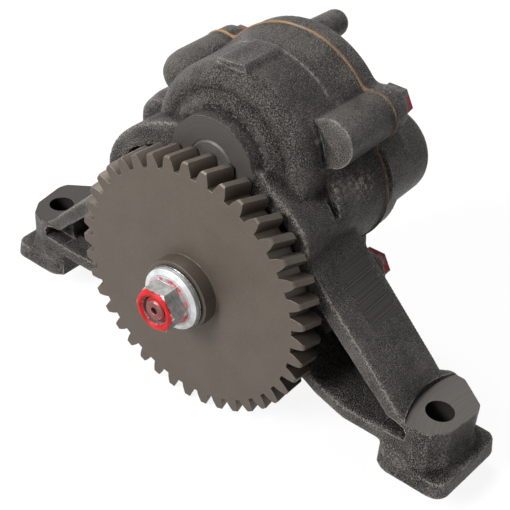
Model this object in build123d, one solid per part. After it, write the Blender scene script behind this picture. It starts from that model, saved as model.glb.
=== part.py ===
"""Engine oil pump: a gear pump in an iron bracket with two feet, turned by a helical gear.

Millimetres. X runs along the two feet, Y from the drive gear back to the cover, Z up.
The origin is midway between the two foot bolts, on the plane that the feet are bolted to.
"""
from build123d import *
import math
import os

# Feet and their bolts
foot_spacing = 234.0
foot_hole_radius = 6.5
foot_top = 29.3
foot_base_height = 7.5
foot_base_inner = 99.5
foot_base_outer = 134.0
foot_base_splay = 4.0
foot_base_front = -20.4
foot_base_rear = 27.0
foot_corner_radius = 7.0
foot_draft = 8.0
foot_flare = 2.5
foot_flare_height = 7.0
foot_flare_end = 0.12
pad_front_end = 114.0
pad_front_corner = (121.0, -15.7)
pad_outer_front = (127.0, -7.5)
pad_outer_rear = (130.0, 10.0)
pad_rear_outer = (129.0, 15.0)
pad_rear = 25.3
pad_rear_corner = 115.5
pad_rear_inner = 107.5
pad_bevel = 2.0
pad_bevel_run = 8.0
spot_face_radius = 57.0
spot_face_centre = (162.4, 2.9)
spot_face_height = 20.0

# Axes of the two pump gears
drive_axis_height = 54.0
pump_module = 4.5
pump_teeth = 13
pump_pressure_angle = 25.0
pump_dedendum = 1.2 * pump_module
pump_backlash = 0.16
pump_gear_width = 33.8
tip_clearance = 0.3
side_clearance = 0.1

# Helical drive gear
gear_module = 3.0
gear_teeth = 40
gear_helix_angle = 15.6
gear_pressure_angle = 20.0
gear_dedendum = 1.25 * gear_module
gear_width = 13.3
gear_front = -33.5
gear_edge_chamfer = 0.7
gear_first_tooth = 2.4
hub_radius = 17.3
hub_height = 7.0
hub_draft = 0.5
gear_to_boss = 0.9

# Shafts, bushes and keys
drive_shaft_radius = 12.0
gear_seat_radius = 10.0
shaft_thread_radius = 6.9
idler_shaft_radius = 12.0
bush_wall = 3.0
running_clearance = 0.04
seat_clearance = 0.02
key_width = 5.0
key_height = 5.0
gear_key_length = 10.0
pump_key_length = 24.0
shaft_chamfer = 1.0
pilot_radius = 5.3
pilot_recess = 0.7
pilot_chamfer = 0.8
shaft_end_gap = 1.5
thread_relief = 1.0
centre_drill_radius = 1.9
centre_drill_depth = 4.0
gear_key_inset = 1.5
idler_shaft_proud = 0.4
hole_end_gap = 0.5

# Gear nut and washer
washer_radius = 15.6
washer_bore_radius = 7.4
washer_thickness = 1.4
nut_across_flats = 19.5
nut_turn = 5.0
nut_height = 13.8
nut_front_radius = 9.0
nut_corner_chamfer = 1.8
nut_mouth = 1.2
nut_flange_radius = 15.1
nut_flange_edge = 2.2
nut_flange_height = 4.2
shaft_end_recess = 2.2

# Housing casting
parting_y = 19.5
joint_y = 38.6
overlap = 1.0
bracket_front_gap = 2.5
web_thickness = 6.5
barrel_radius = 42.0
joint_radius = 45.0
lower_barrel_radius = 41.0
lower_joint_radius = 43.0
boss_radius = 22.5
dome = [(41.7, -3.0), (40.4, -7.0), (38.0, -9.3), (34.8, -10.1), (31.5, -9.4), (26.8, -12.3),
        (24.9, -12.5), (23.6, -11.2), (boss_radius, -11.2)]
land = [(-12.0, 150.5), (-9.0, 155.2), (4.2, 155.8), (6.5, 150.5)]
land_front = -6.0
lower_dome = [(40.0, -4.5), (23.0, -7.5)]
bearing_boss_radius = 21.0
lobe_radius = 32.0
lobe_front_radius = 29.0
lobe_offset = 23.5
lobe_height = 91.0
lobe_front_y = 8.0
outline_blend = 5.0

# Bracket arms
arm_top_inner = Vector(52.3, 85.6)
arm_top_outer = Vector(101.0, 38.0)
flange_thickness = 7.0
flange_bottom = 13.0
slot_end = 111.0
arm_foot = (106.5, 31.5)
underside = [(79.0, 13.0), (64.0, 18.0), (50.0, 26.0), (30.0, 26.0)]
right_shoulder = [(24.9, 117.9), (36.6, 109.0), (47.6, 100.3), (52.2, 91.0)]
left_shoulder = [(-21.0, 124.0), (-36.0, 118.5), (-50.0, 110.0), (-60.0, 98.0), (-63.5, 85.0)]
slot_radius = 2.2
recess_shoulder = [(24.0, 104.0), (39.0, 98.0), (44.5, 88.0), (46.3, 78.4)]
recess_arm_end = (99.5, 29.5)
recess_underside = [(79.0, 20.0), (66.0, 24.0), (54.0, 31.0), (40.0, 36.0)]
recess_left_shoulder = [(-56.0, 82.0), (-55.0, 92.0), (-47.0, 101.0), (-34.0, 108.0), (-21.0, 110.0)]
strip_start = 8.0
strip_length = 34.0
strip_front = -6.0
strip_rear = 15.5
strip_depth = 0.8
strip_clearance = 6.0

# Cover, gasket and their fasteners
gasket_thickness = 0.8
cover_thickness = 12.0
cover_edge_chamfer = 2.5
bolt_boss_radius = 11.3
bolt_boss_front = [(0.0, 5.2), (10.5, 5.2), (11.3, 6.0)]
rounded_boss_front = [(0.0, 4.0), (4.5, 4.0), (8.0, 5.5), (10.0, 9.0), (10.8, 14.0)]
upper_bolts = (42.3, 129.8)
lower_bolts = (45.0, 41.0)
bolt_radius = 5.0
bolt_hole_clearance = 0.5
gasket_clearance = 0.5
spot_clearance = 0.5
spot_depth = 1.0
bolt_thread_radius = 4.9
bolt_thread_length = 18.0
thread_run_out = 4.0
bolt_head_flats = 15.5
bolt_head_height = 5.0
bolt_flange_radius = 9.6
bolt_flange_height = 1.8
dowel_radius = 2.5
dowel_length = 10.0
dowel_end_gap = 0.3
upper_dowel_angle = 110.0
lower_dowel_angle = -80.0
cover_bearing_radius = 20.0
cover_bearing_height = 8.0
cover_bearing_chamfer = 2.0
bearing_end_wall = 4.0
boss_draft = 1.0

# Ports
inlet_x = 34.0
inlet_height = 96.5
inlet_end_y = 73.5
inlet_radius = 22.8
inlet_end_round = 3.0
inlet_bore_radius = 14.0
inlet_bore_depth = 22.0
outlet_x = -20.0
outlet_height = 90.0
outlet_radius = 16.0
outlet_bore_radius = 9.0
outlet_rise = 6.0
pocket_step = 2.0
pocket_shift = 3.0
inlet_pocket_x = 24.0
inlet_pocket_radius = 11.0
inlet_neck_radius = 10.0
seal_groove_radius = 12.0
seal_groove_width = 2.6
seal_groove_depth = 1.8
seal_ring_radius = 1.1
peg_height = 150.3
peg_radius = 6.4
peg_draft = 0.5
peg_end_y = 71.0

# Relief valve
valve_x = -47.0
valve_height = 105.0
valve_radius = 6.5
valve_boss_radius = 14.5
valve_boss_front = [(0.0, 1.5), (12.8, 1.5), (valve_boss_radius, 10.0)]
valve_clearance = 0.03
valve_floor_y = 6.0
piston_gap = 0.3
piston_length = 14.0
piston_nose_length = 3.0
piston_nose_radius = 4.5
piston_skirt_depth = 9.0
piston_skirt_wall = 1.6
spring_radius = 4.0
spring_wire_radius = 0.8
spring_turns = 5
plug_thread_radius = 8.0
thread_clearance = 0.1
plug_flats = 17.0
plug_head_height = 6.0
plug_flange_radius = 11.0
plug_flange_height = 2.0
seal_ring_thickness = 1.2
plug_length = 11.0
oil_hole_radius = 1.8
return_hole_y = 13.0
return_hole_length = 25.0

# Places that follow from the sizes above
drive_height = drive_axis_height
idler_height = drive_axis_height + pump_module * pump_teeth
gear_back = gear_front + gear_width
boss_face_y = gear_back + gear_to_boss
bracket_front = gear_back + bracket_front_gap
cover_front = joint_y + gasket_thickness
cover_rear = cover_front + cover_thickness
chamber_floor = joint_y - pump_gear_width - 2 * side_clearance
chamber_radius = pump_module * (pump_teeth + 2) / 2 + tip_clearance
foot_x = foot_spacing / 2
mesh_height = (drive_height + idler_height) / 2
hub_face = gear_front - hub_height
nut_seat = hub_face - washer_thickness
nut_face = nut_seat - nut_height
gear_key_front = gear_front + gear_key_inset
pump_key_front = chamber_floor + (pump_gear_width - pump_key_length) / 2
bearing_floor_y = cover_rear + cover_bearing_height - bearing_end_wall
bush_radius = drive_shaft_radius + bush_wall


def slab(outline, front, back, taper=0.0):
    """Solid of an outline drawn in X and Z, between two places along Y, narrower in front."""
    face = Plane.XZ.offset(-back) * outline
    return extrude(face, amount=back - front, taper=taper)


def rod(x, height, radius, front, back):
    """Round bar along Y."""
    return slab(Pos(x, height) * Circle(radius), front, back)


def turned(points, x, height):
    """Solid of revolution about a line along Y, from its radius and y at each corner."""
    profile = Rot(0, -90, 0) * make_face(Polyline(*points, close=True))
    return revolve(Pos(x, 0, height) * profile, axis=Axis((x, 0, height), (0, 1, 0)))


def hexagon(flats):
    """Hexagon with the given distance across its flats."""
    return RegularPolygon(flats / 2, 6, major_radius=False)


def write(shape, node):
    """Write one node of the assembly."""
    shape.label = node
    export_step(shape, "parts/" + node + ".step")


def involute(angle):
    """Involute function of an angle in radians."""
    return math.tan(angle) - angle


def gear_outline(teeth, module, pressure_angle, addendum, dedendum, backlash=0.0, first_tooth=90.0):
    """Outline of a spur gear with involute flanks; a tooth points at first_tooth degrees."""
    pitch_radius = module * teeth / 2
    base_radius = pitch_radius * math.cos(math.radians(pressure_angle))
    tip_radius = pitch_radius + addendum
    root_radius = pitch_radius - dedendum
    half_tooth = math.pi / teeth / 2 - backlash / pitch_radius / 2
    half_at_base = half_tooth + involute(math.radians(pressure_angle))

    def flank_point(radius, side, centre):
        roll = math.acos(min(1.0, base_radius / radius))
        angle = centre + side * (half_at_base - involute(roll))
        return (radius * math.cos(angle), radius * math.sin(angle))

    start_radius = max(base_radius, root_radius)
    middle_radius = (start_radius + tip_radius) / 2
    edges = []
    for tooth in range(teeth):
        centre = math.radians(first_tooth) + 2 * math.pi * tooth / teeth
        following = centre + 2 * math.pi / teeth
        right = [flank_point(r, -1, centre) for r in (start_radius, middle_radius, tip_radius)]
        left = [flank_point(r, 1, centre) for r in (tip_radius, middle_radius, start_radius)]
        tip = (tip_radius * math.cos(centre), tip_radius * math.sin(centre))
        edges.append(ThreePointArc(*right))
        edges.append(ThreePointArc(right[2], tip, left[0]))
        edges.append(ThreePointArc(*left))
        gap_start = left[2]
        gap_end = flank_point(start_radius, -1, following)
        if root_radius < base_radius:
            foot_angle = centre + half_at_base
            next_angle = following - half_at_base
            gap_start = (root_radius * math.cos(foot_angle), root_radius * math.sin(foot_angle))
            gap_end = (root_radius * math.cos(next_angle), root_radius * math.sin(next_angle))
            edges.append(Line(left[2], gap_start))
        middle = (centre + following) / 2
        root = (root_radius * math.cos(middle), root_radius * math.sin(middle))
        edges.append(ThreePointArc(gap_start, root, gap_end))
        if root_radius < base_radius:
            edges.append(Line(gap_end, flank_point(start_radius, -1, following)))
    return make_face(edges)


def keyway(radius, depth, front, back):
    """Slot cutter on the upper side of a shaft or a bore."""
    slot = Pos(0, drive_height + radius + depth / 2) * Rectangle(key_width, depth)
    return slab(slot, front, back)


def drive_gear():
    """Helical gear with a plain web, a raised hub and a keyed bore."""
    transverse = gear_module / math.cos(math.radians(gear_helix_angle))
    pitch_radius = transverse * gear_teeth / 2
    twist = math.degrees(gear_width * math.tan(math.radians(gear_helix_angle)) / pitch_radius)
    tip_radius = pitch_radius + gear_module
    faces = []
    for place, turn in ((gear_front, 0.0), (gear_back, -twist)):
        outline = gear_outline(gear_teeth, transverse, gear_pressure_angle, gear_module,
                               gear_dedendum, first_tooth=gear_first_tooth + turn)
        faces.append(Plane.XZ.offset(-place) * Pos(0, drive_height) * outline)
    teeth = loft(faces, ruled=True)
    blank = turned([(0, gear_front), (tip_radius - gear_edge_chamfer, gear_front),
                    (tip_radius + gear_edge_chamfer, gear_front + 2 * gear_edge_chamfer),
                    (tip_radius + gear_edge_chamfer, gear_back - 2 * gear_edge_chamfer),
                    (tip_radius - gear_edge_chamfer, gear_back), (0, gear_back)], 0, drive_height)
    gear = teeth & blank
    hub = turned([(0, gear_front + overlap), (hub_radius + hub_draft, gear_front + overlap),
                  (hub_radius + hub_draft, gear_front), (hub_radius, hub_face), (0, hub_face)],
                 0, drive_height)
    gear += hub
    gear -= rod(0, drive_height, gear_seat_radius + seat_clearance, hub_face - overlap, gear_back + overlap)
    gear -= keyway(gear_seat_radius - overlap, key_height / 2 + overlap, hub_face - overlap,
                   gear_back + overlap)
    return gear


def shaft_key(radius, front, length):
    """Parallel key, half in the shaft and half in the hub."""
    bar = Pos(0, drive_height + radius) * Rectangle(key_width, key_height)
    return slab(bar, front, front + length)


def drive_shaft():
    """Shaft through the gear, the front bush, the pump gear and the rear bush."""
    shaft_end = bearing_floor_y - shaft_end_gap
    thread_front = nut_face + shaft_end_recess
    pilot_front = nut_face + pilot_recess
    shaft = turned([(0, pilot_front), (pilot_radius - pilot_chamfer, pilot_front),
                    (pilot_radius, pilot_front + pilot_chamfer), (pilot_radius, thread_front),
                    (shaft_thread_radius - shaft_chamfer, thread_front),
                    (shaft_thread_radius, thread_front + shaft_chamfer),
                    (shaft_thread_radius, hub_face + thread_relief),
                    (gear_seat_radius, hub_face + thread_relief), (gear_seat_radius, gear_back),
                    (drive_shaft_radius, gear_back), (drive_shaft_radius, shaft_end - shaft_chamfer),
                    (drive_shaft_radius - shaft_chamfer, shaft_end), (0, shaft_end)], 0, drive_height)
    centre_drill = turned([(0, pilot_front), (centre_drill_radius, pilot_front),
                           (0, pilot_front + centre_drill_depth)], 0, drive_height)
    shaft -= centre_drill
    shaft -= keyway(gear_seat_radius - key_height / 2, key_height / 2, gear_key_front,
                    gear_key_front + gear_key_length)
    shaft -= keyway(drive_shaft_radius - key_height / 2, key_height / 2, pump_key_front,
                    pump_key_front + pump_key_length)
    return shaft


def gear_washer():
    """Plain washer under the gear nut."""
    return (rod(0, drive_height, washer_radius, nut_seat, hub_face)
            - rod(0, drive_height, washer_bore_radius, nut_seat, hub_face))


def flange_nut():
    """Hexagon nut with a coned flange and chamfered corners."""
    hexagon_bar = slab(Pos(0, drive_height) * Rot(0, 0, nut_turn) * hexagon(nut_across_flats),
                       nut_face, nut_seat)
    corner = nut_across_flats / 2 / math.cos(math.radians(30))
    envelope = turned([(0, nut_face), (nut_front_radius, nut_face),
                       (corner, nut_face + nut_corner_chamfer), (corner, nut_seat),
                       (0, nut_seat)], 0, drive_height)
    flange = turned([(0, nut_seat), (nut_flange_radius, nut_seat),
                     (nut_flange_radius, nut_seat - nut_flange_edge),
                     (nut_across_flats / 2, nut_seat - nut_flange_height),
                     (0, nut_seat - nut_flange_height)], 0, drive_height)
    nut = (hexagon_bar & envelope) + flange
    nut -= rod(0, drive_height, shaft_thread_radius + seat_clearance, nut_face - overlap, nut_seat + overlap)
    mouth = turned([(0, nut_face), (shaft_thread_radius + nut_mouth, nut_face),
                    (shaft_thread_radius, nut_face + nut_mouth), (0, nut_face + nut_mouth)],
                   0, drive_height)
    return nut - mouth


def pump_gear(height, bore_radius):
    """Spur gear of the pump, with a plain bore."""
    outline = gear_outline(pump_teeth, pump_module, pump_pressure_angle, pump_module,
                           pump_dedendum, pump_backlash)
    front = chamber_floor + side_clearance
    gear = slab(Pos(0, height) * outline, front, front + pump_gear_width)
    return gear - rod(0, height, bore_radius, front - overlap, front + pump_gear_width + overlap)


def pump_drive_gear():
    """Pump gear keyed to the drive shaft."""
    gear = pump_gear(drive_height, drive_shaft_radius + seat_clearance)
    front = chamber_floor + side_clearance
    return gear - keyway(drive_shaft_radius - overlap, key_height / 2 + overlap, front - overlap,
                         front + pump_gear_width + overlap)


def bush(height, bore_radius, front, back):
    """Plain bronze bush."""
    outer = bore_radius + bush_wall
    return (rod(0, height, outer - seat_clearance, front, back)
            - rod(0, height, bore_radius + running_clearance, front, back))


def idler_shaft():
    """Fixed shaft of the idler gear, its front end flush in the boss."""
    back = cover_front + cover_thickness / 2
    front = boss_face_y - idler_shaft_proud
    radius = idler_shaft_radius
    return turned([(0, front), (radius - shaft_chamfer, front), (radius, front + shaft_chamfer),
                   (radius, back - shaft_chamfer), (radius - shaft_chamfer, back), (0, back)],
                  0, idler_height)


def bolt_places():
    """Centres of the four cover bolts."""
    return [(side * x, height) for x, height in (upper_bolts, lower_bolts) for side in (-1, 1)]


def dowel_places():
    """Centres of the two cover dowels, in the wall round the gear chamber."""
    ring = (chamber_radius + joint_radius) / 2
    lower_ring = (chamber_radius + lower_joint_radius) / 2
    places = []
    for radius, height, turn in ((ring, idler_height, upper_dowel_angle),
                                 (lower_ring, drive_height, lower_dowel_angle)):
        angle = math.radians(turn)
        places.append((radius * math.cos(angle), height + radius * math.sin(angle)))
    return places


def joint_outline():
    """Outline shared by the housing's joint face, the gasket and the cover."""
    outline = Pos(0, idler_height) * Circle(joint_radius)
    outline += Pos(0, drive_height) * Circle(lower_joint_radius)
    for side in (-1, 1):
        outline += Pos(side * lobe_offset, lobe_height) * Circle(lobe_radius)
    outline += Pos(valve_x, valve_height) * Circle(valve_boss_radius)
    for x, height in bolt_places():
        outline += Pos(x, height) * Circle(bolt_boss_radius)
    swollen = offset(outline, outline_blend)
    return offset(swollen, -outline_blend)


def port_pockets():
    """Oil ways beside the gear mesh, on the inlet and the outlet side."""
    inlet = Pos(inlet_pocket_x, mesh_height) * Circle(inlet_pocket_radius)
    inlet += Pos(inlet_x - pocket_shift, inlet_height - pocket_shift) * Circle(inlet_neck_radius)
    outlet = Pos(outlet_x - pocket_shift, mesh_height) * Circle(outlet_bore_radius)
    outlet += Pos(outlet_x, outlet_height) * Circle(outlet_bore_radius)
    return make_hull(inlet.edges()), make_hull(outlet.edges())


def cover_gasket():
    """Paper gasket with the chamber, port and bolt openings."""
    inlet, outlet = port_pockets()
    sheet = joint_outline()
    sheet -= Pos(0, idler_height) * Circle(chamber_radius)
    sheet -= Pos(0, drive_height) * Circle(chamber_radius)
    sheet -= inlet
    sheet -= outlet
    sheet -= Pos(valve_x, valve_height) * Circle(valve_radius + gasket_clearance)
    for x, height in bolt_places():
        sheet -= Pos(x, height) * Circle(bolt_radius + bolt_hole_clearance)
    for x, height in dowel_places():
        sheet -= Pos(x, height) * Circle(dowel_radius + gasket_clearance)
    return slab(sheet, joint_y, cover_front)


def rear_cover():
    """Cast cover with the tapered inlet boss, the outlet face and the lifting peg."""
    cover = slab(joint_outline(), cover_front, cover_rear)
    rear_edges = cover.faces().sort_by(Axis.Y)[-1].edges()
    cover = chamfer(rear_edges, cover_edge_chamfer)
    shoulder = inlet_end_round * (1 - math.sqrt(0.5))
    cover += turned([(0, cover_front + overlap), (inlet_radius, cover_front + overlap),
                     (inlet_radius, inlet_end_y - inlet_end_round),
                     (inlet_radius - shoulder, inlet_end_y - shoulder),
                     (inlet_radius - inlet_end_round, inlet_end_y), (0, inlet_end_y)],
                    inlet_x, inlet_height)
    cover += turned([(0, cover_front + overlap), (outlet_radius + boss_draft, cover_front + overlap),
                     (outlet_radius, cover_rear + outlet_rise), (0, cover_rear + outlet_rise)],
                    outlet_x, outlet_height)
    cover += turned([(0, cover_front + overlap), (cover_bearing_radius + boss_draft, cover_front + overlap),
                     (cover_bearing_radius, cover_rear + cover_bearing_height - cover_bearing_chamfer),
                     (cover_bearing_radius - cover_bearing_chamfer, cover_rear + cover_bearing_height),
                     (0, cover_rear + cover_bearing_height)], 0, drive_height)
    peg_round = peg_radius / 2
    peg_corner = peg_round * (1 - math.sqrt(0.5))
    cover += turned([(0, cover_front + overlap), (peg_radius + peg_draft, cover_front + overlap),
                     (peg_radius, peg_end_y - peg_round), (peg_radius - peg_corner, peg_end_y - peg_corner),
                     (peg_radius - peg_round, peg_end_y), (0, peg_end_y)], 0, peg_height)
    cover -= rod(inlet_x, inlet_height, inlet_bore_radius, inlet_end_y - inlet_bore_depth,
                 inlet_end_y + overlap)
    inlet, outlet = port_pockets()
    cover -= slab(inlet, cover_front - overlap, inlet_end_y - inlet_bore_depth + overlap)
    cover -= rod(outlet_x, outlet_height, outlet_bore_radius, cover_front - overlap,
                 cover_rear + outlet_rise + overlap)
    seal = Pos(outlet_x, outlet_height) * (Circle(seal_groove_radius + seal_groove_width / 2)
                                           - Circle(seal_groove_radius - seal_groove_width / 2))
    cover -= slab(seal, cover_rear + outlet_rise - seal_groove_depth, cover_rear + outlet_rise + overlap)
    cover -= rod(0, drive_height, bush_radius, cover_front - overlap, bearing_floor_y)
    cover -= rod(0, idler_height, idler_shaft_radius + seat_clearance, cover_front - overlap,
                 cover_front + cover_thickness / 2 + hole_end_gap)
    cover -= rod(valve_x, valve_height, plug_thread_radius, cover_front - overlap, cover_rear + overlap)
    cover -= rod(valve_x, valve_height, plug_flange_radius + spot_clearance, cover_rear - spot_depth,
                 cover_rear + plug_flange_height + plug_head_height)
    for x, height in bolt_places():
        cover -= rod(x, height, bolt_radius + bolt_hole_clearance, cover_front - overlap,
                     cover_rear + overlap)
        cover -= rod(x, height, bolt_flange_radius + spot_clearance, cover_rear - spot_depth,
                     cover_rear + bolt_flange_height + bolt_head_height)
    for x, height in dowel_places():
        cover -= rod(x, height, dowel_radius + seat_clearance, cover_front - overlap,
                     cover_front + dowel_length / 2)
    return cover


def mirrored(points):
    """The same corners on the other side of the pump, in reverse order."""
    return [(-x, height) for x, height in reversed(points)]


def bracket_outline():
    """Outer outline of the bracket, seen from the front."""
    arm = [(arm_top_inner.X, arm_top_inner.Y), (arm_top_outer.X, arm_top_outer.Y),
           arm_foot, (pad_front_end, foot_top), (pad_front_end, flange_bottom)] + underside
    slope = (arm_top_outer.Y - arm_top_inner.Y) / (arm_top_outer.X - arm_top_inner.X)
    left_x = left_shoulder[-1][0]
    left_joint = (left_x, arm_top_inner.Y + slope * (-left_x - arm_top_inner.X))
    left_arm = mirrored(arm[1:]) + [left_joint]
    edges = [Spline(*right_shoulder, (arm_top_inner.X, arm_top_inner.Y)),
             Polyline(*arm, *left_arm, left_shoulder[-1]), Spline(*left_shoulder[::-1]),
             Line(left_shoulder[0], right_shoulder[0])]
    return make_face(edges)


def bracket_recess():
    """Hollow of the bracket, open to the front, between its rim and its lower flange."""
    floor = flange_bottom + flange_thickness
    right = recess_shoulder + [recess_arm_end, (slot_end - slot_radius, floor + 2 * slot_radius)]
    right_end = (slot_end, floor + slot_radius)
    below = [(slot_end - slot_radius, floor)] + recess_underside
    left = mirrored(below) + [mirrored([right_end])[0]]
    left_top = mirrored(right[-3:]) + recess_left_shoulder
    slot = ThreePointArc(right[-1], right_end, below[0])
    left_slot = ThreePointArc(left[-2], left[-1], left_top[0])
    edges = [Polyline(*right), slot, Polyline(*below, *left[:-1]), left_slot,
             Polyline(*left_top, right[0])]
    return make_face(edges)


def pad_outline():
    """Outline of the machined pad and of the foot column below it."""
    return make_face(Polyline((foot_base_inner, bracket_front), (pad_front_end, bracket_front),
                              pad_front_corner, pad_outer_front, pad_outer_rear, pad_rear_outer,
                              (pad_rear_corner, pad_rear), (pad_rear_inner, pad_rear),
                              (foot_base_inner, parting_y), close=True))


def foot(side):
    """Foot with its cast base flange, its flared column and the bevelled front edge."""
    corners = make_face(Polyline((foot_base_inner, foot_base_front),
                                 (foot_base_outer, foot_base_front),
                                 (foot_base_outer + foot_base_splay, foot_base_rear),
                                 (foot_base_inner, foot_base_rear), close=True))
    base = fillet(corners.vertices(), foot_corner_radius)
    solid = extrude(base, amount=foot_base_height, taper=foot_draft)
    solid += extrude(pad_outline(), amount=foot_top)
    flare_foot = Pos(0, 0, foot_base_height) * offset(pad_outline(), foot_flare)
    flare_top = Pos(0, 0, foot_base_height + foot_flare_height) * offset(pad_outline(), foot_flare_end)
    flare = loft([flare_foot, flare_top])
    inside = Pos(0, 0, foot_base_height) * extrude(base, amount=foot_flare_height)
    solid += flare & inside
    bevel = make_face(Polyline((bracket_front, foot_top - pad_bevel), (bracket_front, foot_top),
                               (bracket_front + pad_bevel, foot_top), close=True))
    bevel_cutter = extrude(Plane.YZ * bevel, amount=pad_bevel_run + pad_bevel)
    solid -= Pos(pad_front_end - pad_bevel_run, 0, 0) * bevel_cutter
    if side < 0:
        solid = mirror(solid, about=Plane.YZ)
    return solid


def arm_strip(side):
    """Cutter for the milled strip on the sloping top of an arm."""
    run = (arm_top_outer - arm_top_inner).normalized()
    start = arm_top_inner + run * strip_start
    end = start + run * strip_length
    normal = Vector(-run.Y, run.X)
    low_start = start - normal * strip_depth
    low_end = end - normal * strip_depth
    high_start = start + normal * strip_clearance
    high_end = end + normal * strip_clearance
    outline = make_face(Polyline(*[(p.X, p.Y) for p in (low_start, low_end, high_end, high_start)],
                                 close=True))
    cutter = slab(outline, strip_front, strip_rear)
    if side < 0:
        cutter = mirror(cutter, about=Plane.YZ)
    return cutter


def idler_barrel():
    """Round body over the idler gear, with its ridged dome, machined boss and the land on top."""
    barrel = turned([(0, joint_y), (joint_radius, joint_y), (barrel_radius, parting_y)] + dome
                    + [(boss_radius, boss_face_y), (0, boss_face_y)], 0, idler_height)
    return barrel + slab(make_face(Polyline(*land, close=True)), land_front, parting_y)


def drive_barrel():
    """Round body over the driven pump gear, with the front bearing boss."""
    return turned([(0, joint_y), (lower_joint_radius, joint_y), (lower_barrel_radius, parting_y)]
                  + lower_dome + [(bearing_boss_radius, bracket_front + overlap),
                                  (0, bracket_front + overlap)], 0, drive_height)


def housing_casting():
    """Iron casting before machining."""
    casting = slab(bracket_outline(), bracket_front, parting_y)
    casting -= slab(bracket_recess(), bracket_front - overlap, parting_y - web_thickness)
    casting += idler_barrel()
    casting += drive_barrel()
    for side in (-1, 1):
        casting += turned([(0, joint_y), (lobe_radius, joint_y), (lobe_front_radius, parting_y),
                           (lobe_front_radius - boss_draft, lobe_front_y), (0, lobe_front_y)],
                          side * lobe_offset, lobe_height)
        casting += foot(side)
    for x, height in bolt_places():
        front = bolt_boss_front
        if (x, height) == (-upper_bolts[0], upper_bolts[1]):
            front = rounded_boss_front
        casting += turned(front + [(bolt_boss_radius, joint_y), (0, joint_y)], x, height)
    casting += turned(valve_boss_front + [(valve_boss_radius, joint_y), (0, joint_y)],
                      valve_x, valve_height)
    return casting


def housing_bracket():
    """Machined housing with its two feet."""
    body = housing_casting()
    body -= rod(0, drive_height, chamber_radius, chamber_floor, joint_y + overlap)
    body -= rod(0, idler_height, chamber_radius, chamber_floor, joint_y + overlap)
    inlet, outlet = port_pockets()
    body -= slab(inlet, chamber_floor + pocket_step, joint_y + overlap)
    body -= slab(outlet, chamber_floor + pocket_step, joint_y + overlap)
    body -= rod(0, drive_height, bush_radius, bracket_front, chamber_floor + overlap)
    body -= rod(0, idler_height, idler_shaft_radius + seat_clearance, boss_face_y - overlap,
                chamber_floor + overlap)
    body -= rod(valve_x, valve_height, valve_radius, valve_floor_y, joint_y + overlap)
    upright = (Align.CENTER, Align.CENTER, Align.MIN)
    feed_start = Vector(valve_x, valve_floor_y + piston_nose_length / 2, valve_height)
    feed_end = Vector(outlet_x - pocket_shift, feed_start.Y, mesh_height)
    feed_run = feed_end - feed_start
    body -= Plane(feed_start, z_dir=feed_run) * Cylinder(oil_hole_radius, feed_run.length, align=upright)
    return_start = Plane((valve_x, return_hole_y, valve_height), z_dir=(-1, 0, 0))
    body -= return_start * Cylinder(oil_hole_radius, return_hole_length, align=upright)
    for x, height in bolt_places():
        body -= rod(x, height, bolt_radius, joint_y - bolt_thread_length - thread_run_out, joint_y + overlap)
    for x, height in dowel_places():
        body -= rod(x, height, dowel_radius + seat_clearance, joint_y - dowel_length / 2, joint_y + overlap)
    for side in (-1, 1):
        body -= arm_strip(side)
        spot = Pos(side * spot_face_centre[0], spot_face_centre[1], foot_top) * Cylinder(
            spot_face_radius, spot_face_height, align=upright)
        body -= spot
        body -= Pos(side * foot_x, 0, -1) * Cylinder(
            foot_hole_radius, foot_top + 2 * overlap, align=upright)
    return body


def cover_bolts():
    """Flanged hexagon bolts that hold the cover."""
    bolts = []
    head_seat = cover_rear - spot_depth
    for x, height in bolt_places():
        bolt = rod(x, height, bolt_thread_radius, joint_y - bolt_thread_length, head_seat)
        bolt += turned([(0, head_seat), (bolt_flange_radius, head_seat),
                        (bolt_flange_radius, head_seat + bolt_flange_height / 2),
                        (bolt_head_flats / 2, head_seat + bolt_flange_height),
                        (0, head_seat + bolt_flange_height)], x, height)
        bolt += slab(Pos(x, height) * hexagon(bolt_head_flats), head_seat,
                     head_seat + bolt_flange_height + bolt_head_height)
        bolts.append(bolt)
    return Compound(children=bolts)


def dowel_pins():
    """Two dowels that line the cover up."""
    half = dowel_length / 2 - dowel_end_gap
    return Compound(children=[rod(x, height, dowel_radius, joint_y - half, cover_front + half)
                              for x, height in dowel_places()])


def relief_piston():
    """Cup-shaped piston of the relief valve, with a narrower nose."""
    front = valve_floor_y + piston_gap
    back = front + piston_length
    radius = valve_radius - valve_clearance
    shoulder = front + piston_nose_length
    skirt_floor = back - piston_skirt_depth
    skirt_radius = radius - piston_skirt_wall
    return turned([(0, front), (piston_nose_radius, front), (piston_nose_radius, shoulder),
                   (radius, shoulder), (radius, back), (skirt_radius, back),
                   (skirt_radius, skirt_floor), (0, skirt_floor)], valve_x, valve_height)


def relief_spring():
    """Coil spring between the piston and its plug."""
    front = valve_floor_y + piston_gap + piston_length - piston_skirt_depth + spring_wire_radius
    back = cover_rear - plug_length - spring_wire_radius
    coil = Helix((back - front) / spring_turns, back - front, spring_radius, center=(0, 0, 0))
    section = Plane(coil @ 0, z_dir=coil % 0) * RegularPolygon(spring_wire_radius, 4)
    wire = sweep(section, path=coil)
    return Pos(valve_x, front, valve_height) * Rot(-90, 0, 0) * wire


def relief_plug():
    """Hexagon plug that closes the relief valve at the cover."""
    seat = cover_rear - spot_depth + seal_ring_thickness
    plug = rod(valve_x, valve_height, plug_thread_radius - thread_clearance, cover_rear - plug_length, seat)
    plug += rod(valve_x, valve_height, plug_flange_radius, seat, seat + plug_flange_height)
    plug += slab(Pos(valve_x, valve_height) * hexagon(plug_flats), seat,
                 seat + plug_flange_height + plug_head_height)
    return plug


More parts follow.
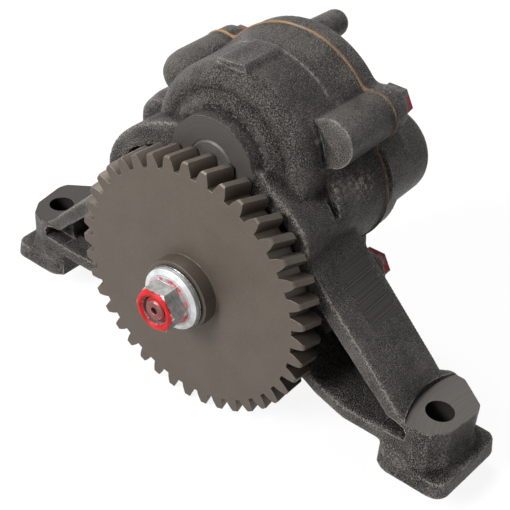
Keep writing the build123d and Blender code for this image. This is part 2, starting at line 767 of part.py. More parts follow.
def relief_seal_ring():
    """Copper sealing ring under the plug."""
    front = cover_rear - spot_depth
    back = front + seal_ring_thickness
    return (rod(valve_x, valve_height, plug_flange_radius, front, back)
            - rod(valve_x, valve_height, plug_thread_radius + thread_clearance, front, back))


def outlet_seal_ring():
    """Rubber ring in the groove of the outlet face."""
    middle = cover_rear + outlet_rise - seal_groove_depth + seal_ring_radius
    section = Pos(outlet_x + seal_groove_radius, middle, outlet_height) * RegularPolygon(
        seal_ring_radius, 8)
    return revolve(section, axis=Axis((outlet_x, middle, outlet_height), (0, 1, 0)))


os.makedirs("parts", exist_ok=True)
write(housing_bracket(), "housing_bracket")
write(bush(drive_height, drive_shaft_radius, bracket_front + overlap, chamber_floor), "front_shaft_bush")
write(bush(drive_height, drive_shaft_radius, cover_front, bearing_floor_y - hole_end_gap), "rear_shaft_bush")
write(rear_cover(), "rear_cover")
write(cover_gasket(), "cover_gasket")
write(cover_bolts(), "cover_bolts")
write(dowel_pins(), "dowel_pins")
write(drive_gear(), "drive_gear")
write(drive_shaft(), "drive_shaft")
write(shaft_key(gear_seat_radius, gear_key_front, gear_key_length), "gear_key")
write(gear_washer(), "gear_washer")
write(flange_nut(), "flange_nut")
write(pump_drive_gear(), "pump_drive_gear")
write(shaft_key(drive_shaft_radius, pump_key_front, pump_key_length), "pump_gear_key")
write(pump_gear(idler_height, idler_shaft_radius + bush_wall), "pump_idler_gear")
write(bush(idler_height, idler_shaft_radius, chamber_floor + side_clearance,
           chamber_floor + side_clearance + pump_gear_width), "idler_bush")
write(idler_shaft(), "idler_shaft")
write(relief_piston(), "relief_piston")
write(relief_spring(), "relief_spring")
write(relief_plug(), "relief_plug")
write(relief_seal_ring(), "relief_seal_ring")
write(outlet_seal_ring(), "outlet_seal_ring")
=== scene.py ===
"""Looks of the engine oil pump: castings, gears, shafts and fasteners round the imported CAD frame."""

import math

import bmesh
import bpy
from mathutils import Matrix, Vector


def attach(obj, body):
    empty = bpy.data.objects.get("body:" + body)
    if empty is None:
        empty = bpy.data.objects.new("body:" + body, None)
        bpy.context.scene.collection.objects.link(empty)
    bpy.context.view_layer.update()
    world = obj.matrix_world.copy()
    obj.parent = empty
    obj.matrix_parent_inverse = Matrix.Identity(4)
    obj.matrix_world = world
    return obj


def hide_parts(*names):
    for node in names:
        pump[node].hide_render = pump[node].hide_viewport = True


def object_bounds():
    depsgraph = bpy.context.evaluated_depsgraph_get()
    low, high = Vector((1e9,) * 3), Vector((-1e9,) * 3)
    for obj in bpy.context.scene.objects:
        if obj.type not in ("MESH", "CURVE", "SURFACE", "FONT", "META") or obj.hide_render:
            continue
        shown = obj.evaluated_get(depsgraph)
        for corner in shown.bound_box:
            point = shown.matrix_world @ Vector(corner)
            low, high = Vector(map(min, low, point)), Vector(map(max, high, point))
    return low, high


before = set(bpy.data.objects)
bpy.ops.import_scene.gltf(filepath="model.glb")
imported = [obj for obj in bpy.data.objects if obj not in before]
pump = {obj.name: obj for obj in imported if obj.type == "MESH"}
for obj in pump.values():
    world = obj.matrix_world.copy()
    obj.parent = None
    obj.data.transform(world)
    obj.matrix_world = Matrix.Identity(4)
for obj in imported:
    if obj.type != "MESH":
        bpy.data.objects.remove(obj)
cad_low, cad_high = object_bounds()
scene = bpy.context.scene
mm = 0.001

# Camera
# The pump is seen from the front right and above, through a long lens, rolled a few degrees.
camera_place = Vector((0.23663, -0.31473, 0.34710))
camera_azimuth = math.radians(35.435)
camera_elevation = math.radians(36.544)
camera_roll = math.radians(4.347)
camera_lens = 73.54

toward_camera = Vector((math.sin(camera_azimuth) * math.cos(camera_elevation),
                        -math.cos(camera_azimuth) * math.cos(camera_elevation),
                        math.sin(camera_elevation)))
level_right = Vector((math.cos(camera_azimuth), math.sin(camera_azimuth), 0))
level_up = toward_camera.cross(level_right)
camera_right = level_right * math.cos(camera_roll) + level_up * math.sin(camera_roll)
camera_up = level_up * math.cos(camera_roll) - level_right * math.sin(camera_roll)
camera = bpy.data.objects.new("camera", bpy.data.cameras.new("camera"))
camera.data.lens = camera_lens
camera.data.clip_start = 0.01
camera.data.clip_end = 10
camera.matrix_world = (Matrix.Translation(camera_place)
                       @ Matrix((camera_right, camera_up, toward_camera)).transposed().to_4x4())
scene.collection.objects.link(camera)
scene.camera = camera
scene.view_settings.view_transform = "Standard"

# Studio
# A white floor under the lowest tooth of the gear, a white surround and soft lamps from above.
floor_drop = 0.4 * mm
floor_size = 3.0
paper_white = 0.9
surround_light = 0.16
key_light = 64.0
key_place = (-0.55, -1.50, 1.10)
key_size = 0.65
top_light = 26.0
top_place = (-0.60, 0.20, 1.70)
top_size = 0.6
lamp_aim = Vector((0, 0, 70 * mm))
floor_grey = (0.93, 0.93, 0.93, 1)


def join(tree, value, socket):
    """Feed a socket from another socket, or set it to a plain value."""
    if isinstance(value, bpy.types.NodeSocket):
        tree.links.new(value, socket)
    else:
        socket.default_value = value


def shader_node(tree, kind, **values):
    """Add a shader node; values name its settings, or its inputs where it has no such setting."""
    node = tree.nodes.new(kind)
    for name, value in values.items():
        if hasattr(node, name):
            setattr(node, name, value)
        else:
            join(tree, value, node.inputs[name.replace("_", " ")])
    return node


def number(tree, operation, *values):
    """Result of a Math node on sockets or plain numbers."""
    node = shader_node(tree, "ShaderNodeMath", operation=operation)
    for value, socket in zip(values, node.inputs):
        join(tree, value, socket)
    return node.outputs[0]


def ramp(tree, value, start, end, low=0.0, high=1.0):
    """A value from low to high as the input runs from start to end, and level outside."""
    return shader_node(tree, "ShaderNodeMapRange", Value=value, From_Min=start, From_Max=end,
                       To_Min=low, To_Max=high).outputs["Result"]


def seen_share(tree):
    """1 for rays from the camera and for those that a gloss or a glass sends on, or else 0."""
    path = tree.nodes.new("ShaderNodeLightPath").outputs
    return number(tree, "MAXIMUM", path["Is Camera Ray"],
                  number(tree, "MAXIMUM", path["Is Glossy Ray"], path["Is Transmission Ray"]))


def lamp(name, place, size, power):
    """Square area lamp turned toward the middle of the pump."""
    light = bpy.data.objects.new(name, bpy.data.lights.new(name, "AREA"))
    light.data.energy = power
    light.data.size = size
    light.location = place
    aim = lamp_aim - light.location
    light.rotation_mode = "QUATERNION"
    light.rotation_quaternion = aim.to_track_quat("-Z", "Y")
    scene.collection.objects.link(light)


floor_shape = bmesh.new()
bmesh.ops.create_grid(floor_shape, x_segments=1, y_segments=1, size=floor_size / 2)
bmesh.ops.translate(floor_shape, vec=(0, 0, cad_low.z - floor_drop), verts=floor_shape.verts)
floor_mesh = bpy.data.meshes.new("floor")
floor_shape.to_mesh(floor_mesh)
floor_shape.free()
floor = bpy.data.objects.new("floor", floor_mesh)
scene.collection.objects.link(floor)
floor_paper = bpy.data.materials.new("floor_paper")
floor_paper.use_nodes = True
paper_tree = floor_paper.node_tree
paper_shader = paper_tree.nodes["Principled BSDF"]
paper_shader.inputs["Base Color"].default_value = floor_grey
paper_shader.inputs["Roughness"].default_value = 0.9
paper_shader.inputs["Specular IOR Level"].default_value = 0.1
paper_glow = shader_node(paper_tree, "ShaderNodeEmission", Color=(1, 1, 1, 1), Strength=1.0)
paper_mix = shader_node(paper_tree, "ShaderNodeMixShader",
                        Fac=number(paper_tree, "MULTIPLY", seen_share(paper_tree), paper_white))
paper_tree.links.new(paper_shader.outputs["BSDF"], paper_mix.inputs[1])
paper_tree.links.new(paper_glow.outputs["Emission"], paper_mix.inputs[2])
paper_tree.links.new(paper_mix.outputs["Shader"], paper_tree.nodes["Material Output"].inputs["Surface"])
floor.data.materials.append(floor_paper)

surround = bpy.data.worlds.new("surround")
scene.world = surround
surround.use_nodes = True
air = surround.node_tree
air.nodes["Background"].inputs["Color"].default_value = (1, 1, 1, 1)
join(air, ramp(air, seen_share(air), 0.0, 1.0, surround_light, 1.0),
     air.nodes["Background"].inputs["Strength"])
lamp("key_lamp", key_place, key_size, key_light)
lamp("top_lamp", top_place, top_size, top_light)

# Housing casting
# Grey iron, cast in sand in one with its two feet and hollow arms, then oiled and dark.
# Pads, boss face, milled strips, holes and the joint face are machined after casting.


def in_mm(*corners):
    """Outline whose corners are given in millimetres."""
    return [(across * mm, up * mm) for across, up in corners]


drive_height = 54.0 * mm
idler_height = 112.5 * mm
joint_y = 38.6 * mm
casting_voxel = 1.2 * mm
casting_rounding = 2
spare = 2.0 * mm
overcut = 1.0 * mm
round_steps = 96
clear_side = 150.0 * mm
clear_front = -60.0 * mm
clear_rear = joint_y + 20.0 * mm
clear_low = -20.0 * mm
clear_high = 180.0 * mm
under_feet_rear = 30.0 * mm

chamber_radius = 34.05 * mm
chamber_floor = 4.6 * mm
bore_front = -30.0 * mm
shaft_bore_radius = 15.0 * mm
idler_bore_radius = 12.02 * mm
valve_place = (-47.0 * mm, 105.0 * mm)
valve_bore_radius = 6.5 * mm
valve_bore_floor = 6.0 * mm
high_bolt = (42.3 * mm, 129.8 * mm)
low_bolt = (45.0 * mm, 41.0 * mm)
bolt_hole_radius = 5.0 * mm
bolt_hole_depth = 22.0 * mm

boss_face_y = -19.3 * mm
boss_radius = 22.5 * mm
boss_trim_low = (-40.0 * mm, clear_front, 85.0 * mm)
boss_trim_high = (40.0 * mm, boss_face_y, 140.0 * mm)
ear_radius = 11.0 * mm
ear_front = 5.5 * mm
ear_length = 6.0 * mm
ear_reach = 13.0 * mm
ear_trim_front = -8.0 * mm
barrel_radius = 42.0 * mm
barrel_reach = 42.0 * mm
land_outline = in_mm((-12.3, 150.0), (-9.3, 155.6), (4.4, 156.1), (6.9, 150.0))
land_front = -6.0 * mm
land_spare = 0.6 * mm
land_trim_low = (-14.0 * mm, -14.0 * mm, 153.3 * mm)
land_trim_high = (9.0 * mm, land_front, 160.0 * mm)
parting_y = 19.5 * mm
line_depth = 0.35 * mm
line_width = 0.35 * mm
line_ends = (42, 118)
line_steps = 60
leaf_outline = in_mm((42.2, 108.8), (44.1, 110.2), (48.4, 105.0), (52.5, 99.3), (52.3, 95.0), (47.3, 97.8),
                     (43.8, 104.5))
leaf_front = 4.0 * mm
leaf_length = 3.6 * mm

foot_x = 117.0 * mm
foot_top = 29.3 * mm
foot_hole_radius = 6.5 * mm
hole_post_wall = 1.0 * mm
hole_post_low = 0.3 * mm
hole_overcut = 5.0 * mm
pad_outline = in_mm((99.5, -15.7), (114.0, -15.7), (121.0, -15.7), (127.0, -7.5), (130.0, 10.0),
                    (129.0, 15.0), (115.5, 25.3), (107.5, 25.3), (99.5, 19.5))
pad_low = foot_top - 5 * mm
pad_thickness = 6.5 * mm
spot_face = (162.4 * mm, 2.9 * mm)
spot_face_radius = 57.0 * mm
spot_face_rise = 20.0 * mm
spot_corner = 1.8 * mm
strip_start = Vector((57.77 * mm, 79.76 * mm))
strip_end = Vector((82.08 * mm, 55.99 * mm))
strip_front = -6.0 * mm
strip_rear = 15.5 * mm
strip_proud = 0.15 * mm
slot_end = in_mm((98.5, 29.3), (105.1, 28.9), (109.5, 27.4), (111.2, 24.5), (110.6, 20.8), (105.7, 20.2),
                 (98.5, 20.0))
slot_end_depth = 9.0 * mm
bracket_front = -17.7 * mm


def copy_of(node):
    """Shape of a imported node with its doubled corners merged."""
    shape = bmesh.new()
    shape.from_mesh(pump[node].data)
    bmesh.ops.remove_doubles(shape, verts=shape.verts, dist=0.001 * mm)
    return shape


def rod_in(shape, x, height, radius, front, back):
    """Add a round bar along Y."""
    across = Matrix.Rotation(math.pi / 2, 4, "X")
    place = Matrix.Translation((x, (front + back) / 2, height)) @ across
    bmesh.ops.create_cone(shape, cap_ends=True, segments=round_steps, radius1=radius,
                          radius2=radius, depth=back - front, matrix=place)


def post_in(shape, x, y, radius, low, high):
    """Add an upright round bar."""
    bmesh.ops.create_cone(shape, cap_ends=True, segments=round_steps, radius1=radius, radius2=radius,
                          depth=high - low, matrix=Matrix.Translation((x, y, (low + high) / 2)))


def extrude(shape, faces, push, keep=False):
    """Push faces along a vector, with new sides; keep leaves the old faces in place."""
    made = bmesh.ops.extrude_face_region(shape, geom=faces, use_keep_orig=keep)["geom"]
    bmesh.ops.translate(shape, vec=push, verts=[v for v in made if isinstance(v, bmesh.types.BMVert)])


def prism_in(shape, corners, push):
    """Add a prism: a flat outline pushed along a vector."""
    face = shape.faces.new([shape.verts.new(corner) for corner in corners])
    extrude(shape, [face], push, keep=True)


def bar_in(shape, outline, front, back, side=1):
    """Add a bar along Y whose section is an outline in the XZ plane, mirrored where side is -1."""
    prism_in(shape, [(side * x, front, z) for x, z in outline], (0, back - front, 0))


def box_in(shape, low, high):
    """Add an upright box."""
    place = Matrix.Translation([(a + b) / 2 for a, b in zip(low, high)])
    size = Matrix.Diagonal([b - a for a, b in zip(low, high)] + [1])
    bmesh.ops.create_cube(shape, size=1, matrix=place @ size)


def grow(shape, axis, level, length):
    """Lengthen a solid past its flat end faces that lie at one level of an axis."""
    ends = [f for f in shape.faces if all(abs(v.co[axis] - level) < 0.01 * mm for v in f.verts)]
    extrude(shape, ends, [length if i == axis else 0 for i in range(3)])


def arc(centre, radius, start, end, steps=24):
    """Points along an arc in the XZ plane, its angles in degrees."""
    turns = [math.radians(start + (end - start) * i / steps) for i in range(steps + 1)]
    return [(centre[0] + radius * math.cos(a), centre[1] + radius * math.sin(a)) for a in turns]


def placed(shape, name):
    """Object made of a shape, its normals turned outward."""
    bmesh.ops.recalc_face_normals(shape, faces=shape.faces)
    mesh = bpy.data.meshes.new(name)
    shape.to_mesh(mesh)
    shape.free()
    made = bpy.data.objects.new(name, mesh)
    scene.collection.objects.link(made)
    return made


def cast_skin(name, stock, voxel, rounding, cutters):
    """Rounded casting: the stock remeshed and smoothed, then cut by each machining cutter."""
    skin = placed(stock, name)
    remesh = skin.modifiers.new("remesh", "REMESH")
    remesh.mode = "VOXEL"
    remesh.voxel_size = voxel
    smooth = skin.modifiers.new("smooth", "SMOOTH")
    smooth.factor = 0.5
    smooth.iterations = rounding
    tools = [placed(cutter, name + "_cutter") for cutter in cutters]
    for tool in tools:
        cut = skin.modifiers.new("cut", "BOOLEAN")
        cut.operation = "DIFFERENCE"
        cut.solver = "MANIFOLD"
        cut.object = tool
    finished = bpy.data.meshes.new_from_object(skin.evaluated_get(bpy.context.evaluated_depsgraph_get()))
    skin.modifiers.clear()
    skin.data = finished
    for tool in tools:
        bpy.data.objects.remove(tool)
    skin.data.shade_smooth()
    skin.data.set_sharp_from_angle(angle=math.radians(40))
    return skin


# The stock is the solid with metal to spare wherever a cutter makes a crisp face or hole.
stock = copy_of("housing_bracket")
grow(stock, 2, 0, -spare)
grow(stock, 1, joint_y, spare)
rod_in(stock, 0, idler_height, boss_radius, boss_face_y - spare, 0)
rod_in(stock, *high_bolt, ear_radius, ear_front - spare, ear_front + ear_length)
bar_in(stock, land_outline, land_front - land_spare, parting_y)
run = (strip_end - strip_start).normalized()
away = Vector((-run.y, run.x))
strip_fill = [strip_start - away * spare, strip_end - away * spare,
              strip_end + away * strip_proud, strip_start + away * strip_proud]
for side in (-1, 1):
    bar_in(stock, strip_fill, strip_front, strip_rear, side)
    post_in(stock, side * foot_x, 0, foot_hole_radius + hole_post_wall, hole_post_low, foot_top)
    prism_in(stock, [(side * x, y, pad_low) for x, y in pad_outline], (0, 0, pad_thickness))

faces_cut = bmesh.new()
box_in(faces_cut, boss_trim_low, boss_trim_high)
box_in(faces_cut, (-clear_side, joint_y, clear_low), (clear_side, clear_rear, clear_high))
box_in(faces_cut, (-clear_side, clear_front, clear_low), (clear_side, under_feet_rear, 0))
drive_cut = bmesh.new()
rod_in(drive_cut, 0, drive_height, chamber_radius, chamber_floor, joint_y + overcut)
idler_cut = bmesh.new()
rod_in(idler_cut, 0, idler_height, chamber_radius, chamber_floor, joint_y + overcut)
bore_cut = bmesh.new()
rod_in(bore_cut, 0, drive_height, shaft_bore_radius, bore_front, chamber_floor + overcut)
rod_in(bore_cut, 0, idler_height, idler_bore_radius, bore_front, chamber_floor + overcut)
rod_in(bore_cut, *valve_place, valve_bore_radius, valve_bore_floor, joint_y + overcut)
leaf_cut = bmesh.new()
bar_in(leaf_cut, leaf_outline, leaf_front, leaf_front + leaf_length)
foot_cut = bmesh.new()
spot_cut = bmesh.new()
slot_cut = bmesh.new()
for side in (-1, 1):
    for x, height in (high_bolt, low_bolt):
        rod_in(bore_cut, side * x, height, bolt_hole_radius, joint_y - bolt_hole_depth, joint_y + overcut)
    post_in(foot_cut, side * foot_x, 0, foot_hole_radius, -hole_overcut, foot_top + hole_overcut)
    post_in(spot_cut, side * spot_face[0], spot_face[1], spot_face_radius, foot_top,
            foot_top + spot_face_rise)
    bar_in(slot_cut, slot_end, bracket_front - spare, bracket_front + slot_end_depth, side)
low_rims = [e for e in spot_cut.edges if all(abs(v.co.z - foot_top) < 0.01 * mm for v in e.verts)]
bmesh.ops.bevel(spot_cut, geom=low_rims, offset=spot_corner, offset_type="OFFSET", segments=3, profile=0.5,
                affect="EDGES", clamp_overlap=True, material=-1)

# The last cutter trims the ear's moon-shaped front, the land's front and the parting line.
barrel_axis = Vector((0, idler_height))
ear_arm = Vector(high_bolt) - barrel_axis
middle = math.degrees(math.atan2(ear_arm.y, ear_arm.x))
inner = math.degrees(math.acos((ear_arm.length ** 2 + barrel_reach ** 2 - ear_reach ** 2)
                               / (2 * ear_arm.length * barrel_reach)))
outer = 180 - math.degrees(math.acos((ear_arm.length ** 2 + ear_reach ** 2 - barrel_reach ** 2)
                                     / (2 * ear_arm.length * ear_reach)))
moon = (arc(high_bolt, ear_reach, middle - outer, middle + outer)[1:-1]
        + arc(barrel_axis, barrel_reach, middle + inner, middle - inner))
line = (arc(barrel_axis, barrel_radius - line_depth, *line_ends, line_steps)
        + arc(barrel_axis, barrel_radius + overcut, *line_ends[::-1], line_steps))
trim_cut = bmesh.new()
bar_in(trim_cut, moon, ear_trim_front, ear_front)
box_in(trim_cut, land_trim_low, land_trim_high)
bar_in(trim_cut, line, parting_y, parting_y + line_width)
housing = cast_skin("housing_casting", stock, casting_voxel, casting_rounding,
                    [faces_cut, drive_cut, idler_cut, bore_cut, leaf_cut, foot_cut, spot_cut, slot_cut,
                     trim_cut])
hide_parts("housing_bracket")
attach(housing, "housing")


def group(name, inputs, outputs):
    """Empty node group; inputs maps each number socket to its value, outputs each socket to its kind."""
    tree = bpy.data.node_groups.new(name, "ShaderNodeTree")
    for socket, value in inputs.items():
        tree.interface.new_socket(socket, in_out="INPUT", socket_type="NodeSocketFloat").default_value = value
    for socket, kind in outputs.items():
        tree.interface.new_socket(socket, in_out="OUTPUT", socket_type="NodeSocket" + kind)
    return tree, tree.nodes.new("NodeGroupInput").outputs, tree.nodes.new("NodeGroupOutput").inputs


def vector(tree, operation, *values):
    """Result of a Vector Math node on sockets or plain vectors."""
    node = shader_node(tree, "ShaderNodeVectorMath", operation=operation)
    for value, socket in zip(values, node.inputs):
        join(tree, value, socket)
    return node.outputs["Value" if operation in ("LENGTH", "DOT_PRODUCT") else "Vector"]


def mixed(tree, share, low, high):
    """Mix of two colours."""
    mix = shader_node(tree, "ShaderNodeMix", data_type="RGBA")
    join(tree, share, mix.inputs[0])
    join(tree, low, mix.inputs[6])
    join(tree, high, mix.inputs[7])
    return mix.outputs[2]


def spots(tree, place, size, detail=2.0, roughness=0.5):
    """Noise whose features are about one size in metres."""
    return shader_node(tree, "ShaderNodeTexNoise", Vector=place, Scale=0.5 / size, Detail=detail,
                       Roughness=roughness).outputs["Fac"]


def bumped(tree, height, strength, distance, normal=None):
    """Normal with a height pattern on it."""
    bump = shader_node(tree, "ShaderNodeBump", Height=height, Strength=strength, Distance=distance)
    if normal is not None:
        tree.links.new(normal, bump.inputs["Normal"])
    return bump.outputs["Normal"]


def use_group(tree, made, **values):
    """Node group placed in a tree; its outputs."""
    node = tree.nodes.new("ShaderNodeGroup")
    node.node_tree = made
    for name, value in values.items():
        join(tree, value, node.inputs[name])
    return node.outputs


def material(name):
    """New material with its tree, its shader and the place on the object."""
    made = bpy.data.materials.new(name)
    made.use_nodes = True
    tree = made.node_tree
    place = tree.nodes.new("ShaderNodeTexCoord").outputs["Object"]
    return made, tree, tree.nodes["Principled BSDF"].inputs, place


def dress(material_made, *pieces):
    """Give pieces one material for all their faces."""
    for piece in pieces:
        piece.data.materials.clear()
        piece.data.materials.append(material_made)


edge_wear, wear_in, wear_out = group("edge_wear", {"Radius": 0.4 * mm, "Patch": 1.5 * mm, "Amount": 1.0},
                                     {"Mask": "Float", "Normal": "Vector"})
wear_place = edge_wear.nodes.new("ShaderNodeTexCoord").outputs["Object"]
wear_bevel = shader_node(edge_wear, "ShaderNodeBevel", samples=6, Radius=wear_in["Radius"]).outputs[0]
wear_turn = vector(edge_wear, "DOT_PRODUCT", wear_bevel,
                   edge_wear.nodes.new("ShaderNodeNewGeometry").outputs["Normal"])
wear_edge = ramp(edge_wear, wear_turn, 0.995, 0.90)
wear_scale = number(edge_wear, "DIVIDE", 0.5, wear_in["Patch"])
wear_noise = shader_node(edge_wear, "ShaderNodeTexNoise", Vector=wear_place, Scale=wear_scale,
                         Detail=4.0, Roughness=0.65).outputs["Fac"]
wear_patch = ramp(edge_wear, wear_noise, 0.34, 0.62)
join(edge_wear, number(edge_wear, "MULTIPLY", number(edge_wear, "MULTIPLY", wear_edge, wear_patch),
                       wear_in["Amount"]), wear_out["Mask"])
join(edge_wear, wear_bevel, wear_out["Normal"])

ring_lines, ring_in, ring_out = group("ring_lines", {"Height": 0.0, "Width": 0.25 * mm}, {"Lines": "Float"})
ring_place = ring_lines.nodes.new("ShaderNodeTexCoord").outputs["Object"]
ring_middle = shader_node(ring_lines, "ShaderNodeCombineXYZ", Z=ring_in["Height"]).outputs[0]
ring_arm = vector(ring_lines, "MULTIPLY", vector(ring_lines, "SUBTRACT", ring_place, ring_middle), (1, 0, 1))
ring_step = number(ring_lines, "DIVIDE", vector(ring_lines, "LENGTH", ring_arm), ring_in["Width"])
ring_noise = shader_node(ring_lines, "ShaderNodeTexNoise", noise_dimensions="1D", W=ring_step, Scale=1.0,
                         Detail=2.0, Roughness=0.6)
join(ring_lines, ring_noise.outputs["Fac"], ring_out["Lines"])

cast_grain, grain_in, grain_out = group("cast_grain", {"Size": 0.36 * mm},
                                        {"Height": "Float", "Tone": "Float", "Patches": "Float"})
grain_place = cast_grain.nodes.new("ShaderNodeTexCoord").outputs["Object"]
grain_scale = number(cast_grain, "DIVIDE", 0.5, grain_in["Size"])
grain_noise = shader_node(cast_grain, "ShaderNodeTexNoise", Vector=grain_place, Scale=grain_scale,
                          Detail=3.0, Roughness=0.62).outputs["Fac"]
grain_pits = shader_node(cast_grain, "ShaderNodeTexVoronoi", feature="SMOOTH_F1", Vector=grain_place,
                         Scale=number(cast_grain, "MULTIPLY", grain_scale, 1.6)).outputs["Distance"]
grain_lumps = shader_node(cast_grain, "ShaderNodeTexNoise", Vector=grain_place,
                          Scale=number(cast_grain, "MULTIPLY", grain_scale, 0.22), Detail=2.0).outputs["Fac"]
grain_sum = number(cast_grain, "ADD", number(cast_grain, "MULTIPLY", grain_pits, 0.55), grain_noise)
join(cast_grain, number(cast_grain, "ADD", grain_sum, grain_lumps), grain_out["Height"])
tone_noise = shader_node(cast_grain, "ShaderNodeTexNoise", Vector=grain_place,
                         Scale=number(cast_grain, "MULTIPLY", grain_scale, 1.3), Detail=4.0,
                         Roughness=0.72).outputs["Fac"]
join(cast_grain, ramp(cast_grain, tone_noise, 0.38, 0.66), grain_out["Tone"])
patch_noise = shader_node(cast_grain, "ShaderNodeTexNoise", Vector=grain_place,
                          Scale=number(cast_grain, "MULTIPLY", grain_scale, 0.045), Detail=3.0).outputs["Fac"]
join(cast_grain, ramp(cast_grain, patch_noise, 0.38, 0.62), grain_out["Patches"])

iron_dark = (0.014, 0.0128, 0.0116, 1)
iron_pale = (0.225, 0.206, 0.188, 1)
iron_bare = (0.36, 0.345, 0.325, 1)
iron_dust = (0.36, 0.31, 0.26, 1)
cut_dark = (0.018, 0.0165, 0.015, 1)
cut_pale = (0.105, 0.097, 0.089, 1)
dust_spots = [((46 * mm, 13 * mm, 109 * mm), 8 * mm), ((50.5 * mm, 24 * mm, 105 * mm), 9 * mm),
              ((48 * mm, 28 * mm, 69 * mm), 6 * mm)]


def dusting(tree, place):
    """Dry dust left in the corners beside the right ear and over the arm."""
    share = 0.0
    for centre, reach in dust_spots:
        gap = vector(tree, "LENGTH", vector(tree, "SUBTRACT", place, centre))
        share = number(tree, "ADD", share, ramp(tree, gap, reach, reach * 0.3))
    crumbs = ramp(tree, spots(tree, place, 1.0 * mm, 4.0, 0.75), 0.50, 0.60, 0.0, 0.75)
    return number(tree, "MULTIPLY", share, crumbs)


def cast_iron(name, machining):
    """Dark oiled cast iron with painted highlights on its ridges and painted shade in its hollows; the
    function given puts machined faces on it, with their tool lines.
    """
    made, tree, shader, place = material(name)
    grain = use_group(tree, cast_grain)
    wear = use_group(tree, edge_wear, Radius=1.1 * mm, Patch=1.2 * mm)
    # Painted highlight: ridges found by pointiness are lightened with glints taken from the grain tone.
    # Painted shade: hollows are darkened.
    bulge = tree.nodes.new("ShaderNodeNewGeometry").outputs["Pointiness"]
    painted_glints = ramp(tree, grain["Tone"], 0.3, 0.9, 0.1, 1.6)
    ridge_painted_highlight = number(tree, "MULTIPLY", ramp(tree, bulge, 0.522, 0.56, 0.0, 1.0), painted_glints)
    hollow_painted_shade = ramp(tree, bulge, 0.51, 0.46, 0.0, 0.35)
    relief = number(tree, "SUBTRACT", ridge_painted_highlight, hollow_painted_shade)
    grain_tone_and_painted_light = number(tree, "ADD", number(tree, "POWER", grain["Tone"], 1.6), relief)
    patches = number(tree, "MULTIPLY", number(tree, "SUBTRACT", grain["Patches"], 0.5), 0.2)
    grain_tone_and_painted_light = number(tree, "ADD", grain_tone_and_painted_light, patches)
    skin_colour = mixed(tree, grain_tone_and_painted_light, iron_dark, iron_pale)
    worn_and_painted_light = mixed(tree, number(tree, "MULTIPLY", wear["Mask"], 0.8), skin_colour, iron_bare)
    worn_and_painted_light = mixed(tree, dusting(tree, place), worn_and_painted_light, iron_dust)
    machined, lines = machining(tree, place)
    cut_colour = mixed(tree, lines, cut_dark, cut_pale)
    join(tree, mixed(tree, machined, worn_and_painted_light, cut_colour), shader["Base Color"])
    rough = number(tree, "SUBTRACT", 0.34, number(tree, "MULTIPLY", grain_tone_and_painted_light, 0.10))
    rough = number(tree, "SUBTRACT", rough, number(tree, "MULTIPLY", machined, 0.06))
    join(tree, rough, shader["Roughness"])
    shader["Metallic"].default_value = 0.04
    shader["Specular IOR Level"].default_value = 0.12
    cast_height = number(tree, "MULTIPLY", grain["Height"], number(tree, "SUBTRACT", 1.0, machined))
    cut_height = number(tree, "MULTIPLY", number(tree, "MULTIPLY", lines, machined), 0.05)
    height = number(tree, "ADD", cast_height, cut_height)
    join(tree, bumped(tree, height, 1.0, 1.8 * mm), shader["Normal"])
    return made


def band(tree, value, low, high):
    """1 where a value lies between two levels, with a narrow soft edge."""
    soft = 0.08 * mm
    rise = ramp(tree, value, low - soft, low + soft)
    return number(tree, "MULTIPLY", rise, ramp(tree, value, high + soft, high - soft))


def tool_marks(tree, place_across, width, low, high):
    """Level of a cut face, from low to high, that changes across the cutter's marks."""
    marks = shader_node(tree, "ShaderNodeTexNoise", noise_dimensions="1D", Scale=1.0, Detail=3.0,
                        W=number(tree, "DIVIDE", place_across, width)).outputs["Fac"]
    return ramp(tree, marks, 0.3, 0.7, low, high)


pad_inner = 95 * mm
boss_low = 85 * mm
# Level below the darkest cut colour: painted shade down the stud holes.
hole_painted_shade_level = (-0.15, -0.15, -0.15, 1)


